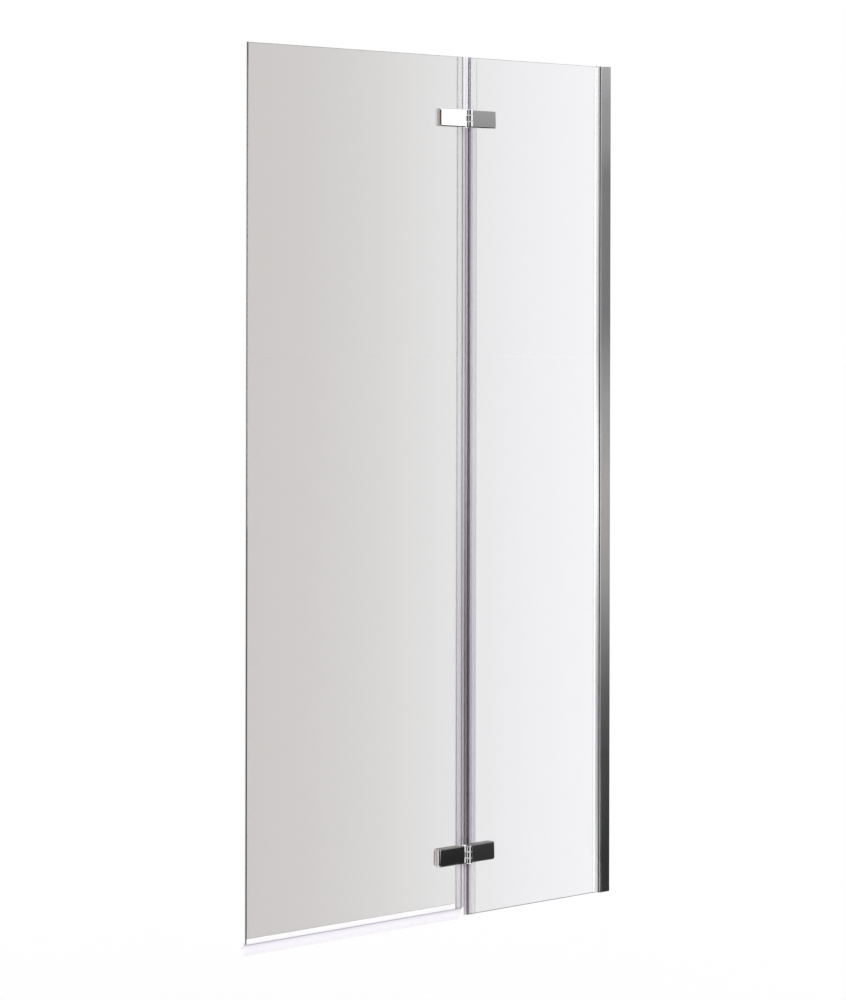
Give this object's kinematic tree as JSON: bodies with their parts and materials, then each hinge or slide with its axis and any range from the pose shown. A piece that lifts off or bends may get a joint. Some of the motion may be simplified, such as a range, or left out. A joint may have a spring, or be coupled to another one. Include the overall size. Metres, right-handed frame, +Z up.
{
  "type": "bath screen",
  "caption": "Frameless folding bath screen: a narrow glass panel in a slim chrome wall profile with a wide glass panel hung on it by barrel hinges, with clear edge and bottom seals.",
  "frame": {"origin": "centre of the wall channel's mounting face, on the glass's middle plane at half the screen's height", "axes": "+Z up; the panels run from the wall along -X; -Y is the front, where the hinge barrels stand; +Y is the bath side, with the clamp screws and the drip fin"},
  "size_m": [0.8, 0.0284, 1.4055],
  "materials": {
    "polished_profile": "polished, bright anodised",
    "gasket": "matt grey",
    "chromed_plastic": "chrome look",
    "glass": "clear, toughened, polished edges",
    "clear_seal": "clear soft PVC",
    "chrome": "polished chrome on brass",
    "steel": "stainless",
    "pad": "translucent soft PVC",
    "nylon": "white nylon"
  },
  "bodies": {
    "fixed_panel": {"wall_channel": "polished_profile", "glass_channel": "polished_profile", "glazing_gasket": "gasket", "profile_top_cap": "chromed_plastic", "channel_side_screws": "steel", "fixed_glass": "glass", "fixed_seal_top": "clear_seal", "fixed_seal_middle": "clear_seal", "fixed_seal_bottom": "clear_seal", "upper_fixed_leaf": "chrome", "upper_fixed_clamp": "chrome", "lower_fixed_leaf": "chrome", "lower_fixed_clamp": "chrome", "fixed_hinge_pads": "pad", "fixed_hinge_screws": "steel", "hinge_pins": "steel"},
    "moving_panel": {"moving_glass": "glass", "moving_seal_top": "clear_seal", "moving_seal_middle": "clear_seal", "moving_seal_bottom": "clear_seal", "bottom_seal": "clear_seal", "upper_moving_leaf": "chrome", "upper_moving_clamp": "chrome", "lower_moving_leaf": "chrome", "lower_moving_clamp": "chrome", "moving_hinge_pads": "pad", "moving_hinge_screws": "steel", "hinge_bushes": "nylon"}
  },
  "joints": [
    {"name": "panel_fold", "type": "hinge", "parent": "fixed_panel", "child": "moving_panel", "pos_m": [-0.334, -0.011, 0], "axis": [0, 0, 1], "range_deg": [0, 130]}
  ]
}
